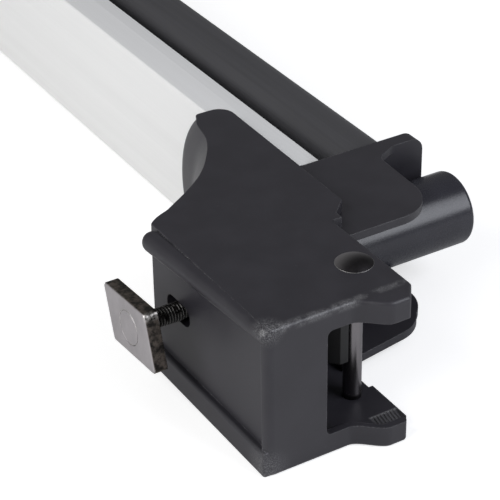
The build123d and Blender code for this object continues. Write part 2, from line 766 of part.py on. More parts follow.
def make_t_bolt(mirrored):
    """Leaning T-plate with its welded stud."""
    lean = bolt_plate_width / 2 * tan(radians(bolt_plate_lean))
    half_length, half_width = bolt_plate_length / 2, bolt_plate_width / 2
    plate = flat((-half_length - lean, -half_width, 1.5), (half_length - lean, -half_width, 1.5),
                 (half_length + lean, half_width, 1.5), (-half_length + lean, half_width, 1.5))
    outer_face = -bolt_drop
    clamp_face = outer_face + bolt_plate_thickness
    turned = Pos(bolt_place, bolt_across) * Rot(0, 0, -bolt_plate_turn) * plate
    solid = upright(turned, outer_face, clamp_face)
    solid = chamfer(solid.edges().group_by(Axis.X)[0], bolt_plate_edge / 2)
    ring = upright_rod(weld_ring_radius + weld_ring_width / 2, outer_face - 1,
                       outer_face + weld_ring_depth, bolt_place, bolt_across)
    ring = ring - upright_rod(weld_ring_radius - weld_ring_width / 2, outer_face - 2,
                              outer_face + 2, bolt_place, bolt_across)
    stud = upright_rod(bolt_radius, clamp_face - 1, bolt_reach, bolt_place, bolt_across)
    stud = chamfer(stud.edges().group_by(Axis.X)[-1], 0.6)
    bolt = solid - ring + stud
    return other_end(bolt) if mirrored else bolt


def make_clamp_washer(mirrored):
    top = base_inside + washer_thickness
    washer = upright_rod(washer_radius, base_inside, top, bolt_place, bolt_across)
    washer = washer - upright_rod(bolt_radius + 0.3, base_inside - 1, top + 1, bolt_place, bolt_across)
    return other_end(washer) if mirrored else washer


def make_clamp_nut(mirrored):
    foot = base_inside + washer_thickness + nut_gap
    flange = upright_rod(nut_flange_radius, foot, foot + nut_flange_height, bolt_place, bolt_across)
    hexagon = RegularPolygon(nut_flats / 2, 6, major_radius=False)
    body = upright(Pos(bolt_place, bolt_across) * hexagon, foot, foot + nut_height)
    nut = flange + body
    nut = nut - upright_rod(bolt_radius + nut_bore_gap, foot - 1, foot + nut_height + 1,
                            bolt_place, bolt_across)
    return other_end(nut) if mirrored else nut


def screw(radius, length, head_radius, head_height, seat, y, z):
    """Pan-head screw that points away from the roof, its head under the seat."""
    head = upright_rod(head_radius, seat - head_height, seat, y, z)
    head = fillet(head.edges().group_by(Axis.X)[0], head_height / 3)
    shank = upright_rod(radius, seat - head_height / 2, seat + length, y, z)
    return head + shank


def make_arm_screws():
    places = [(y, mid + side * arm_screw_spread / 2) for side in (-1, 1)
              for y in (arm_screw_place, far - arm_screw_place)]
    return Compound(children=[screw(arm_screw_radius, arm_screw_length, arm_screw_head,
                                    arm_screw_head_height, arm_screw_seat, y, z) for y, z in places])


def make_cap_screws():
    seat = upper_seat + pad_seat_depth
    return Compound(children=[screw(cap_screw_radius, cap_screw_length, cap_screw_head,
                                    cap_screw_head_height, seat, y, mid)
                              for y in (*cap_screw_places, *far_screw_places)])


def make_cover_screws():
    seat = cover_top - cover_thickness + cover_screw_head_height
    places = [(y, z) for y in cover_screw_places
              for z in (mid - cover_screw_across / 2, mid + cover_screw_across / 2)]
    return Compound(children=[screw(cover_screw_radius, cover_screw_length - 0.5, cover_screw_head,
                                    cover_screw_head_height - 0.1, seat, y, z) for y, z in places])


pieces = {
    "latch_housing": make_latch_housing(),
    "hinge_housing": make_hinge_housing(),
    "lower_arm": make_lower_arm(),
    "lower_pad": make_pad(arm_top - pad_seat_depth, arm_top + pad_stand, pad_end, far - pad_end),
    "upper_arm": make_upper_arm(),
    "upper_pad": make_pad(upper_seat + pad_seat_depth, upper_seat - pad_stand, pad_end, far - pad_end),
    "upper_end_cap": make_upper_end_cap(),
    "hinge_cap": make_hinge_cap(),
    "latch_cover": make_latch_cover(),
    "release_button": make_release_button(),
    "button_spring": make_button_spring(),
    "latch_slide": make_latch_slide(),
    "latch_spring": make_latch_spring(),
    "strike_pin": make_rivet(strike_height, strike_place, strike_radius),
    "hinge_pin": make_rivet(hinge_height, hinge_line, hinge_radius),
    "hinge_washers": make_hinge_washers(),
    "t_bolt_latch_end": make_t_bolt(False),
    "t_bolt_hinge_end": make_t_bolt(True),
    "clamp_washer_latch_end": make_clamp_washer(False),
    "clamp_washer_hinge_end": make_clamp_washer(True),
    "clamp_nut_latch_end": make_clamp_nut(False),
    "clamp_nut_hinge_end": make_clamp_nut(True),
    "arm_screws": make_arm_screws(),
    "cap_screws": make_cap_screws(),
    "cover_screws": make_cover_screws(),
}

# The origin is the middle of the whole rack's box, level with the side it lies on.
boxes = [piece.bounding_box() for piece in pieces.values()]
origin = ((min(box.min.X for box in boxes) + max(box.max.X for box in boxes)) / 2,
          (min(box.min.Y for box in boxes) + max(box.max.Y for box in boxes)) / 2,
          min(box.min.Z for box in boxes))

os.makedirs("parts", exist_ok=True)
for name, piece in pieces.items():
    export_step(Pos(*origin).inverse() * piece, f"parts/{name}.step")
print("origin", [round(value, 3) for value in origin])
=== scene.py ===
"""Looks of the ski rack: finishes, threads, springs and a plain studio round its solids."""

import json
from math import pi

import bmesh
import bpy
from bpy.props import FloatProperty, FloatVectorProperty, IntProperty, PointerProperty
from mathutils import Matrix, Vector


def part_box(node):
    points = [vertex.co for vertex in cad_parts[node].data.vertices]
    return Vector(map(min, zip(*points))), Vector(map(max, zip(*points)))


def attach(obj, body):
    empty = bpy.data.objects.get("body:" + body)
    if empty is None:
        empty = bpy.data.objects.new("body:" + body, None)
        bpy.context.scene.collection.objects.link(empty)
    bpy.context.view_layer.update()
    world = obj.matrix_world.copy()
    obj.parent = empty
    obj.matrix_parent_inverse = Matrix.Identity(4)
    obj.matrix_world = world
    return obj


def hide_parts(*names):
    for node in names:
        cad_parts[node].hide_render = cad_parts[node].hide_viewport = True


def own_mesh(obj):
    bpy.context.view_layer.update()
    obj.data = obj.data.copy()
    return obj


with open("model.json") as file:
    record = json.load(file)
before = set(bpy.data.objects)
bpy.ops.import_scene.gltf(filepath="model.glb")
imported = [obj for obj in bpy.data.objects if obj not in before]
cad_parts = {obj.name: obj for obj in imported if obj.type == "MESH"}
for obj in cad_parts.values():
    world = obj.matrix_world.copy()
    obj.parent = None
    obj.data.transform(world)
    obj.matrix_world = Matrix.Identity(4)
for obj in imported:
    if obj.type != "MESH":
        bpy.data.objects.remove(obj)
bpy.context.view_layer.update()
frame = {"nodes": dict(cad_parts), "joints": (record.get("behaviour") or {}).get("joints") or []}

bl_info = {
    "name": "Ski Rack",
    "version": (1, 0, 0),
    "blender": (4, 5, 0),
    "location": "View3D > Sidebar > Ski Rack",
    "description": "Finishes, hardware and studio for a clamping ski rack",
    "category": "Object",
}

MM = 0.001

# Sizes of the rack that the pieces here share with its solids, in millimetres. Heights run away
# from the roof, lengths run from the latch end to the hinge end, and widths run across the arms.
# An inset is the distance from the nearer end of the rack.
RACK_LENGTH = 620.0
HOUSING_WIDTH = 55.0
STRIKE_PIN = (43.5, 18.0)
BOLT_WIDTH = 30.5
BOLT_INSET = 56.0
PLATE_FACE = -17.0
CLAMP_FACE = -12.2
STUD_RADIUS = 3.0
STUD_END = 19.0

# Borders of the housing's bay, which is painted dark with shade, and of the ramp on its lower lug.
# Each is soft, and is told by where it starts and where it ends. The bay is taller at the hinge end.
BAY_INSET = ((2.6, 3.5), (46.0, 47.0))
BAY_WIDTH = ((3.4, 4.4), (50.6, 51.6))
BAY_FLOOR = (4.2, 5.2)
BAY_CEILING = (27.5, 29.5)
HINGE_BAY_RISE = 47.5
RAMP_FOOT = (40.6, 41.4)
RAMP_TIP = (-3.2, -2.7)
RAMP_HEEL = (4.1, 4.5)
RAMP_WIDTH = ((1.0, 1.6), (4.2, 4.6))
# Near-black painted shade inside the housing's bay.
BAY_PAINTED_SHADE = (0.002, 0.002, 0.0025)

# Borders of the strike pin's bare shank across the arms, of the side of its head away from the pin's middle
# that gets a painted reflection, and of the heights that leave the hinge pin out of it.
SHANK_WIDTH = ((5.0, 6.5), (48.5, 50.0))
PAINTED_SHEEN_SIDE = (-3.0, 6.5)
BELOW_HINGE = (60.0, 62.0)

# The thread starts clear of the weld and stops short of the stud's end. Its root lies inside the
# stud, and its foot takes up most of one turn's rise.
THREAD_START = CLAMP_FACE + 0.2
THREAD_STOP = STUD_END - 0.8
THREAD_ROOT = 0.12
THREAD_FOOT_SHARE = 0.82
THREAD_CREST_WIDTH = 0.16

BUTTON_SPRING = {"name": "button_coil", "node": "button_spring", "joint": "button_press",
                 "axis": (1, 0, 0), "wire": 1.4, "held_at_its_end": False}
LATCH_SPRING = {"name": "latch_coil", "node": "latch_spring", "joint": "latch_draw",
                "axis": (0, 1, 0), "wire": 0.9, "held_at_its_end": True}

# The camera stands where the rack's latch end fills the view, the lamps look a little further along
# the arms, and the paper lies just below the rack.
CAMERA_PLACE = (-235.4, -387.9, 370.1)
CAMERA_RIGHT = (0.8555, -0.5181, -0.0139)
CAMERA_AHEAD = (0.4321, 0.727, -0.5333)
CAMERA_LENS = 135.1
LAMP_AIM = (45.0, 120.0, 20.0)
SIDE_BOX = (-915.0, 0.0, 650.0)
FRONT_BOX = (560.0, -780.0, 700.0)
COOL_WHITE = (0.91, 0.935, 1.0)
PAPER_SIZE = 4.0
PAPER_DROP = 0.2


def middle_of(node):
    low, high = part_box(node)
    return (low + high) / 2


ORIGIN = middle_of("strike_pin") - Vector((*STRIKE_PIN, 0)) * MM
ORIGIN.z = 0.0


def place(height, length, width):
    """Point in the rack's own frame, in metres, from its height, length and width in millimetres."""
    return ORIGIN + Vector((height, length, width)) * MM


# Node trees


class Value:
    """A socket that carries a number or a colour, with the usual operators for numbers."""

    def __init__(self, nodes, socket):
        self.nodes = nodes
        self.socket = socket

    def _math(self, operation, *terms):
        return self.nodes.node("ShaderNodeMath", {"operation": operation}, dict(enumerate(terms)))

    def __add__(self, other):
        return self._math("ADD", self, other)

    def __radd__(self, other):
        return self._math("ADD", other, self)

    def __sub__(self, other):
        return self._math("SUBTRACT", self, other)

    def __rsub__(self, other):
        return self._math("SUBTRACT", other, self)

    def __mul__(self, other):
        return self._math("MULTIPLY", self, other)

    def __rmul__(self, other):
        return self._math("MULTIPLY", other, self)

    def root(self):
        return self._math("SQRT", self)

    def least(self, other):
        return self._math("MINIMUM", self, other)

    def most(self, other):
        return self._math("MAXIMUM", self, other)

    def between(self, low, high):
        """0 below low and 1 above high, with a smooth rise between them."""
        inputs = {"Value": self, "From Min": low, "From Max": high}
        return self.nodes.node("ShaderNodeMapRange", {"interpolation_type": "SMOOTHSTEP"}, inputs)

    def within(self, start, stop):
        """1 between two soft borders and 0 outside them."""
        return self.between(*start) * (1.0 - self.between(*stop))


class Nodes:
    """A node tree under construction."""

    def __init__(self, tree):
        self.tree = tree
        tree.nodes.clear()

    def add(self, kind, settings=None, inputs=None):
        """Add a node of any kind: its settings first, then the values or links of its sockets."""
        made = self.tree.nodes.new(kind)
        for setting, choice in (settings or {}).items():
            setattr(made, setting, choice)
        for key, given in (inputs or {}).items():
            self.feed(made.inputs[key], given)
        return made

    def node(self, kind, settings=None, inputs=None, output=0):
        """Add a node and return what one of its outputs carries."""
        return Value(self, self.add(kind, settings, inputs).outputs[output])

    def feed(self, socket, given):
        """Link a socket to a value, or set it to a plain number, colour or the like."""
        if isinstance(given, Value):
            self.tree.links.new(given.socket, socket)
        elif socket.type == "RGBA":
            socket.default_value = (*given, 1.0)
        else:
            socket.default_value = given


class Finish(Nodes):
    """A material under construction, with its patterns laid out in millimetres."""

    def __init__(self, name, colour, **constants):
        self.material = bpy.data.materials.new(name)
        self.material.use_nodes = True
        super().__init__(self.material.node_tree)
        self.shader = self.add("ShaderNodeBsdfPrincipled")
        self.add("ShaderNodeOutputMaterial", inputs={"Surface": Value(self, self.shader.outputs[0])})
        self.set(Base_Color=colour, **constants)
        self._spot = None

    def set(self, **sockets):
        """Feed the shader's sockets, whose names are written with underscores."""
        for name, given in sockets.items():
            self.feed(self.shader.inputs[name.replace("_", " ")], given)
        return self.material

    def fed(self, name):
        """What feeds one of the shader's sockets so far."""
        return Value(self, self.shader.inputs[name].links[0].from_socket)

    @property
    def spot(self):
        """Place on the piece, in millimetres from the frame's origin."""
        if self._spot is None:
            where = self.node("ShaderNodeTexCoord", output="Object")
            inputs = {0: where, "Scale": 1 / MM}
            self._spot = self.node("ShaderNodeVectorMath", {"operation": "SCALE"}, inputs)
        return self._spot

    def stretched(self, x, y, z):
        """The place, squeezed along each axis, for a pattern that runs longer one way."""
        return self.node("ShaderNodeVectorMath", {"operation": "MULTIPLY"}, {0: self.spot, 1: (x, y, z)})

    def axis(self, letter):
        return self.node("ShaderNodeSeparateXYZ", inputs={0: self.spot}, output=letter)

    @property
    def height(self):
        return self.axis("X") - ORIGIN.x / MM

    @property
    def inset(self):
        length = self.axis("Y") - ORIGIN.y / MM
        return length.least(RACK_LENGTH - length)

    @property
    def width(self):
        return self.axis("Z")

    def near(self, inner, outer, **where):
        """1 within inner of a place told by its height, inset or width, falling to 0 at outer."""
        steps = [getattr(self, way) - size for way, size in where.items()]
        squares = [step * step for step in steps]
        reach = sum(squares[1:], squares[0]).root()
        return 1.0 - reach.between(inner, outer)

    def noise(self, size, detail, rough, where=None):
        """Cloudy pattern whose blotches are about size millimetres across."""
        inputs = {"Vector": where or self.spot, "Scale": 1 / size, "Detail": detail, "Roughness": rough}
        return self.node("ShaderNodeTexNoise", inputs=inputs, output="Fac")

    def cells(self, size):
        """Pattern of cells about size millimetres across."""
        inputs = {"Vector": self.spot, "Scale": 1 / size}
        return self.node("ShaderNodeTexVoronoi", inputs=inputs, output="Distance")

    def mix(self, share, first, second):
        """Colour that goes from first to second as share goes from 0 to 1."""
        return self.node("ShaderNodeMix", {"data_type": "RGBA"}, {0: share, 6: first, 7: second}, 2)

    def rounded(self, radius):
        """Normal that bends over sharp edges as if they had a radius in millimetres."""
        return self.node("ShaderNodeBevel", {"samples": 6}, {"Radius": radius * MM})

    def edge(self, radius):
        """0 on flat surfaces, rising towards 1 on sharp edges."""
        flat = self.node("ShaderNodeNewGeometry", output="Normal")
        inputs = {0: self.rounded(radius), 1: flat}
        return 1.0 - self.node("ShaderNodeVectorMath", {"operation": "DOT_PRODUCT"}, inputs, "Value")

    def relief(self, height, depth, soften):
        """Feed the normal with a bump of a depth in millimetres, over edges softened by a radius."""
        inputs = {"Height": height, "Distance": depth * MM, "Strength": 1.0,
                  "Normal": self.rounded(soften)}
        self.set(Normal=self.node("ShaderNodeBump", inputs=inputs))


# Finishes


def times(colour, factor, lift=0.0):
    """The colour made lighter or darker by a factor and a lift."""
    return tuple(min(1.0, part * factor + lift) for part in colour)


def moulded_black(name, colour, roughness, grain, grain_depth=0.012, soften=0.35, scuffs=0.5):
    """Black moulded nylon: fine grain, faint flow marks, dust and pale speckled wear on its edges."""
    skin = Finish(name, colour, IOR=1.5)
    fine = skin.noise(grain, 4.0, 0.6)
    clouds = skin.noise(14.0, 3.0, 0.55)
    dust = skin.noise(0.7, 2.0, 0.5).between(0.68, 0.78)
    specks = skin.noise(0.42, 3.0, 0.6).between(0.44, 0.62)
    rubbed = skin.noise(9.0, 2.0, 0.5).between(0.40, 0.60)
    worn = skin.edge(0.9).between(0.015, 0.16) * specks * rubbed
    tone = skin.mix(clouds.between(0.3, 0.75) * 0.3, colour, times(colour, 1.5, 0.008))
    tone = skin.mix((worn * scuffs + dust * 0.1).least(1.0), tone, times(colour, 2.0, 0.16))
    skin.relief(fine + clouds * 0.3, grain_depth, soften)
    unevenness = (clouds - 0.5) * 0.12 + (fine - 0.5) * 0.12 + worn * 0.08
    skin.set(Base_Color=tone, Roughness=roughness + unevenness)
    return skin


def housing_with_wear_and_painted_light(name, colour, roughness, grain):
    """The housings' nylon: a pale band along the outer top edge, partly rubbed wear and partly painted
    highlight, rubbed pale at the corners beside the roof bar, paler on the lower lug's ramp and along
    its ridge, and painted dark with shade inside the bay."""
    skin = moulded_black(name, colour, roughness, grain)
    specks = skin.noise(0.4, 3.0, 0.65).between(0.42, 0.66)
    streak = skin.noise(5.0, 3.0, 0.6).between(0.36, 0.58)
    ledge_highlight_and_wear = skin.near(0.5, 2.3, inset=0.9, width=HOUSING_WIDTH - 0.9) * (0.3 + specks * 0.7) * streak
    upper_corner = skin.near(1.5, 7.5, inset=1.5, width=HOUSING_WIDTH, height=1.5) * specks
    lower_corner = skin.near(2.0, 10.0, inset=1.0, width=2.5, height=0.0) * specks
    # Pale marks: the band along the top edge is partly painted highlight and partly rubbed wear; the corners
    # are rubbed wear.
    rubbed = (ledge_highlight_and_wear * 0.6 + upper_corner * 0.6 + lower_corner * 0.5).least(0.85)
    tone = skin.mix(rubbed, skin.fed("Base Color"), times(colour, 1.0, 0.2))

    on_lug = skin.height.between(*RAMP_FOOT) * skin.width.within(*RAMP_WIDTH) * skin.inset.between(*RAMP_TIP)
    ramp = on_lug * (1.0 - skin.inset.between(*RAMP_HEEL)) * (0.45 + specks * 0.4)
    ramp_rim = on_lug * skin.near(0.15, 0.7, inset=4.3, width=3.9)
    tone = skin.mix((ramp * 0.45 + ramp_rim * 0.5).least(1.0), tone, times(colour, 1.0, 0.13))

    # Painted shade: the bay's inside darkened almost to black and made rougher; it is taller at the hinge
    # end.
    hinge_half = skin.axis("Y").between(-1.0, 1.0)
    ceiling = (skin.height - hinge_half * HINGE_BAY_RISE).between(*BAY_CEILING)
    bay = skin.inset.within(*BAY_INSET) * skin.width.within(*BAY_WIDTH)
    bay = bay * skin.height.between(*BAY_FLOOR) * (1.0 - ceiling)
    tone = skin.mix(bay * 0.85, tone, BAY_PAINTED_SHADE)
    skin.set(Base_Color=tone, Roughness=skin.fed("Roughness") + bay * 0.4)
    return skin


def anodised(name, colour, shade, roughness, metallic):
    """Anodised extrusion with the faint drawn lines of its die along the arm."""
    skin = Finish(name, colour, Metallic=metallic)
    lines = skin.noise(0.35, 2.0, 0.5, skin.stretched(1.0, 0.004, 1.0))
    broad = skin.noise(5.0, 2.0, 0.5, skin.stretched(1.0, 0.02, 1.0))
    grain = skin.noise(0.12, 2.0, 0.5)
    tone = skin.mix((lines * 0.5 + broad * 0.5).between(0.35, 0.65), colour, shade)
    skin.relief(lines + grain * 0.4, 0.006, 0.25)
    return skin.set(Base_Color=tone, Roughness=roughness + (lines - 0.5) * 0.12 + (grain - 0.5) * 0.1)


def rubber(name, colour):
    """Matte rubber with a faint grey bloom."""
    skin = Finish(name, colour, Specular_IOR_Level=0.4)
    fine = skin.noise(0.22, 3.0, 0.6)
    bloom = skin.noise(9.0, 4.0, 0.6)
    tone = skin.mix(bloom.between(0.4, 0.75) * 0.6, colour, times(colour, 2.2, 0.01))
    skin.relief(fine, 0.02, 0.25)
    return skin.set(Base_Color=tone, Roughness=0.8 + (bloom - 0.5) * 0.15)


def pin_steel(name, dark, bright, painted_sheen_colour, edge_colour, shank_colour):
    """Blackened heads with a painted reflection on the strike pin's towards the arms, on shanks rubbed bare
    between the walls.
    """
    skin = Finish(name, dark, Metallic=1.0)
    patches = skin.noise(5.5, 4.0, 0.6)
    turned = skin.noise(0.25, 2.0, 0.5, skin.stretched(1.0, 1.0, 0.15))
    worn = skin.edge(0.3).between(0.02, 0.2)
    # Painted reflection: the strike pin's head paler on its side towards the arms, left off the hinge pin.
    painted_sheen = (skin.inset - STRIKE_PIN[1]).between(*PAINTED_SHEEN_SIDE) * (1.0 - skin.height.between(*BELOW_HINGE))
    bare = skin.width.within(*SHANK_WIDTH)
    tone = skin.mix(patches.between(0.36, 0.66), bright, dark)
    tone = skin.mix(painted_sheen * 0.9, tone, painted_sheen_colour)
    # Pale edges: partly wear, and partly a painted highlight along the rim of the heads.
    tone = skin.mix(worn * (0.4 + patches * 0.6), tone, edge_colour)
    tone = skin.mix(bare * (0.75 + patches * 0.25), tone, shank_colour)
    skin.relief(turned + patches * 0.5, 0.008, 0.25)
    return skin.set(Base_Color=tone, Roughness=0.5 - bare * 0.26 + (patches - 0.5) * 0.15)


def welded_steel(name, face, scorched, bronze, edge_colour):
    """Plate ground bare on its outer face, scorched black and bronze on its sides and its stud."""
    skin = Finish(name, face, Metallic=1.0)
    ground = skin.noise(0.35, 3.0, 0.6, skin.stretched(1.0, 1.0, 0.4))
    stain = skin.noise(7.0, 3.0, 0.55)
    scale = skin.noise(2.4, 4.0, 0.62)
    bare = 1.0 - skin.height.between(PLATE_FACE + 0.08, PLATE_FACE + 0.4)
    stud = skin.height.between(CLAMP_FACE - 0.2, CLAMP_FACE + 0.3)
    burnt = skin.mix(stud, scorched, times(scorched, 0.45))
    sides = skin.mix(scale.between(0.36, 0.66) * (1.0 - stud), burnt, bronze)
    plain = skin.mix(stain.between(0.35, 0.7) * 0.35, face, times(face, 0.72))
    tone = skin.mix(bare, sides, plain)
    worn = skin.edge(0.45).between(0.04, 0.25) * scale.between(0.38, 0.5) * stain.between(0.42, 0.56)
    knocked_corner = skin.near(0.4, 2.3, inset=44.4, width=40.9) * scale.between(0.38, 0.62) * 0.85
    # Pale edges: wear, and on the stud's thread crests, at less strength, partly painted glints.
    tone = skin.mix((worn * (1.0 - stud * 0.6)).most(knocked_corner), tone, edge_colour)
    skin.relief(ground * bare * 0.3 + scale * (1.0 - bare), 0.03, 0.3)
    return skin.set(Base_Color=tone, Roughness=0.5 + (scale - 0.5) * 0.25 - worn * 0.12)


def plated_steel(name, colour, roughness):
    """Zinc plate with a faint mottled spangle."""
    skin = Finish(name, colour, Metallic=1.0)
    spangle = skin.cells(0.9)
    fine = skin.noise(0.2, 3.0, 0.6)
    tone = skin.mix(spangle.between(0.1, 0.8), colour, times(colour, 0.8))
    skin.relief(fine, 0.008, 0.15)
    return skin.set(Base_Color=tone, Roughness=roughness + (fine - 0.5) * 0.2 + spangle * 0.06)


# Meshes


def weld(bm, mesh):
    """Merge doubled points, turn the faces outwards and write them to a mesh."""
    bmesh.ops.remove_doubles(bm, verts=bm.verts, dist=1e-7)
    bmesh.ops.recalc_face_normals(bm, faces=bm.faces)
    bm.to_mesh(mesh)
    bm.free()


def settle(piece, turn, foot):
    """Turn a piece's mesh and move it to its foot, so that its object stays at the origin."""
    piece.data.transform(Matrix.Translation(foot) @ turn)
    bm = bmesh.new()
    bm.from_mesh(piece.data)
    weld(bm, piece.data)


def dress(material, *nodes):
    """Give solids their finish."""
    for node in nodes:
        solid = frame["nodes"][node]
        solid.data.materials.clear()
        solid.data.materials.append(material)


class Shape(Nodes):
    """A geometry tree under construction, with named inputs for its sizes."""

    def __init__(self, name, sizes):
        super().__init__(bpy.data.node_groups.new(name, "GeometryNodeTree"))
        self.sizes = sizes
        self.identifiers = {}
        sockets = self.tree.interface
        sockets.new_socket("Geometry", in_out="OUTPUT", socket_type="NodeSocketGeometry")
        sockets.new_socket("Geometry", in_out="INPUT", socket_type="NodeSocketGeometry")
        for label, amount in sizes.items():
            kind = "NodeSocketInt" if isinstance(amount, int) else "NodeSocketFloat"
            socket = sockets.new_socket(label, in_out="INPUT", socket_type=kind)
            socket.default_value = amount
            self.identifiers[label] = socket.identifier
        self.entry = self.add("NodeGroupInput")

    def size(self, label):
        return Value(self, self.entry.outputs[label])

    def grow(self, name, geometry, material):
        """End the tree, run it and return an object with the plain mesh that it makes."""
        real = self.node("GeometryNodeRealizeInstances", inputs={0: geometry})
        dressed = self.node("GeometryNodeSetMaterial", inputs={"Geometry": real, "Material": material})
        self.add("NodeGroupOutput", inputs={0: dressed})
        host = bpy.data.objects.new(name, bpy.data.meshes.new(name))
        bpy.context.scene.collection.objects.link(host)
        modifier = host.modifiers.new("shape", "NODES")
        modifier.node_group = self.tree
        for label, amount in self.sizes.items():
            modifier[self.identifiers[label]] = amount
        graph = bpy.context.evaluated_depsgraph_get()
        made = bpy.data.meshes.new_from_object(host.evaluated_get(graph))
        host.modifiers.clear()
        host.data = made
        return host


def wound(name, sizes, outline, material, smooth=False):
    """Right-handed helix up Z, swept with the outline that a function adds to its tree."""
    tree = Shape(name, sizes)
    path = tree.node("GeometryNodeCurveSpiral", inputs={
        "Resolution": tree.size("Steps"), "Rotations": tree.size("Turns"), "Height": tree.size("Rise"),
        "Start Radius": tree.size("Radius"), "End Radius": tree.size("Radius"), "Reverse": True})
    upright = tree.node("GeometryNodeSetCurveNormal", {"mode": "Z_UP"}, {"Curve": path})
    swept = tree.node("GeometryNodeCurveToMesh", inputs={
        "Curve": upright, "Profile Curve": outline(tree), "Fill Caps": True})
    shaded = tree.node("GeometryNodeSetShadeSmooth", inputs={"Geometry": swept, "Shade Smooth": smooth})
    return tree.grow(name, shaded, material)


def ridge(tree):
    """Trapezoid whose narrow side looks away from the axis."""
    flat = tree.node("GeometryNodeCurvePrimitiveQuadrilateral", {"mode": "TRAPEZOID"}, {
        "Height": tree.size("Depth"), "Bottom Width": tree.size("Foot Width"),
        "Top Width": tree.size("Crest Width"), "Offset": 0.0})
    return tree.node("GeometryNodeTransform", inputs={"Geometry": flat, "Rotation": (0.0, 0.0, pi / 2)})


def wire(tree):
    """Round outline of a drawn wire."""
    return tree.node("GeometryNodeCurvePrimitiveCircle", inputs={
        "Resolution": tree.size("Wire Sides"), "Radius": tree.size("Wire Radius")})


def wind(spring, coils, material):
    """Replace a spring's plain solid by its coils."""
    low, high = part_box(spring["node"])
    axis = Vector(spring["axis"])
    span = (high - low).dot(axis)
    outer = (high.z - low.z) / 2
    foot = (low + high) / 2 - axis * span / 2
    half = spring["wire"] * MM / 2
    sizes = {"Radius": outer - half, "Rise": span - 2 * half, "Turns": float(coils), "Steps": 32,
             "Wire Radius": half, "Wire Sides": 10}
    coil = wound(spring["name"], sizes, wire, material, smooth=True)
    turn = Vector((0, 0, 1)).rotation_difference(axis).to_matrix().to_4x4()
    settle(coil, turn, foot + axis * half)
    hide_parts(spring["node"])
    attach(coil, "upper")
    travel = next(j for j in frame["joints"] if j["name"] == spring["joint"])["range_m"][1]
    1 - travel / span
    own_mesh(coil)


# Settings that a user would change


class StudioSettings(bpy.types.PropertyGroup):
    floor_colour: FloatVectorProperty(
        name="Floor Colour", description="Colour of the paper that the rack lies on",
        subtype="COLOR", size=3, min=0.0, max=1.0, default=(0.8, 0.8, 0.8))
    side_strength: FloatProperty(
        name="Side Strength", description="Power of the soft box at the left",
        default=10.0, min=0.0, unit="POWER")
    front_strength: FloatProperty(
        name="Front Strength", description="Power of the soft box in front, right of the camera",
        default=10.0, min=0.0, unit="POWER")
    sky_strength: FloatProperty(
        name="Room Light", description="Strength of the even light from all round",
        default=0.26, min=0.0)
    paper_glow: FloatProperty(
        name="Paper Glow", description="White that the camera sees on the paper",
        default=0.55, min=0.0)


class FinishSettings(bpy.types.PropertyGroup):
    plastic: FloatVectorProperty(
        name="Housing Black", description="Colour of the moulded housings and caps",
        subtype="COLOR", size=3, min=0.0, max=1.0, default=(0.0198, 0.0186, 0.0238))
    silver: FloatVectorProperty(
        name="Arm Silver", description="Colour of the anodised lower arm",
        subtype="COLOR", size=3, min=0.0, max=1.0, default=(0.88, 0.88, 0.875))
    black_arm: FloatVectorProperty(
        name="Arm Black", description="Colour of the anodised upper arm",
        subtype="COLOR", size=3, min=0.0, max=1.0, default=(0.053, 0.0525, 0.057))
    steel: FloatVectorProperty(
        name="Bolt Steel", description="Colour of the T-bolts' ground faces",
        subtype="COLOR", size=3, min=0.0, max=1.0, default=(0.49, 0.465, 0.475))


class HardwareSettings(bpy.types.PropertyGroup):
    thread_pitch: FloatProperty(
        name="Thread Pitch", description="Rise of the stud's thread in one turn, in millimetres",
        default=1.0, min=0.25, max=3.0)
    thread_crest: FloatProperty(
        name="Thread Crest", description="Height of the thread's crest over the stud, in millimetres",
        default=0.25, min=0.05, max=0.28)
    button_coils: IntProperty(
        name="Button Coils", description="Turns of the release button's spring", default=7, min=3)
    latch_coils: IntProperty(
        name="Latch Coils", description="Turns of the latch slide's spring", default=6, min=3)


class RackSettings(bpy.types.PropertyGroup):
    studio: PointerProperty(type=StudioSettings, name="Studio", description="Floor and light")
    finish: PointerProperty(type=FinishSettings, name="Finishes", description="Colours of the pieces")
    hardware: PointerProperty(type=HardwareSettings, name="Hardware", description="Threads and springs")


# Studio


def lay_paper(colour, glow):
    """Paper under the rack that the camera sees as white."""
    mesh = bpy.data.meshes.new("paper_floor")
    bm = bmesh.new()
    drop = Matrix.Translation((0.0, 0.0, -PAPER_DROP * MM))
    bmesh.ops.create_grid(bm, x_segments=1, y_segments=1, size=PAPER_SIZE, matrix=drop)
    weld(bm, mesh)
    floor = bpy.data.objects.new("paper_floor", mesh)
    bpy.context.scene.collection.objects.link(floor)
    paper = Finish("paper", colour, Roughness=0.9, Specular_IOR_Level=0.2, Emission_Strength=1.0)
    camera_ray = paper.node("ShaderNodeLightPath", output="Is Camera Ray")
    shown = paper.mix(camera_ray, (0.0, 0.0, 0.0), (glow, glow, glow))
    floor.data.materials.append(paper.set(Emission_Color=shown))


def light_room(colour, strength):
    """Even light from all round, behind which the camera sees the paper's colour."""
    world = bpy.data.worlds.new("studio")
    bpy.context.scene.world = world
    world.use_nodes = True
    room = Nodes(world.node_tree)
    lit = room.node("ShaderNodeBackground", inputs={"Color": colour, "Strength": strength})
    seen = room.node("ShaderNodeBackground", inputs={"Color": colour, "Strength": 1.0})
    camera_ray = room.node("ShaderNodeLightPath", output="Is Camera Ray")
    shown = room.node("ShaderNodeMixShader", inputs={0: camera_ray, 1: lit, 2: seen})
    room.add("ShaderNodeOutputWorld", inputs={"Surface": shown})


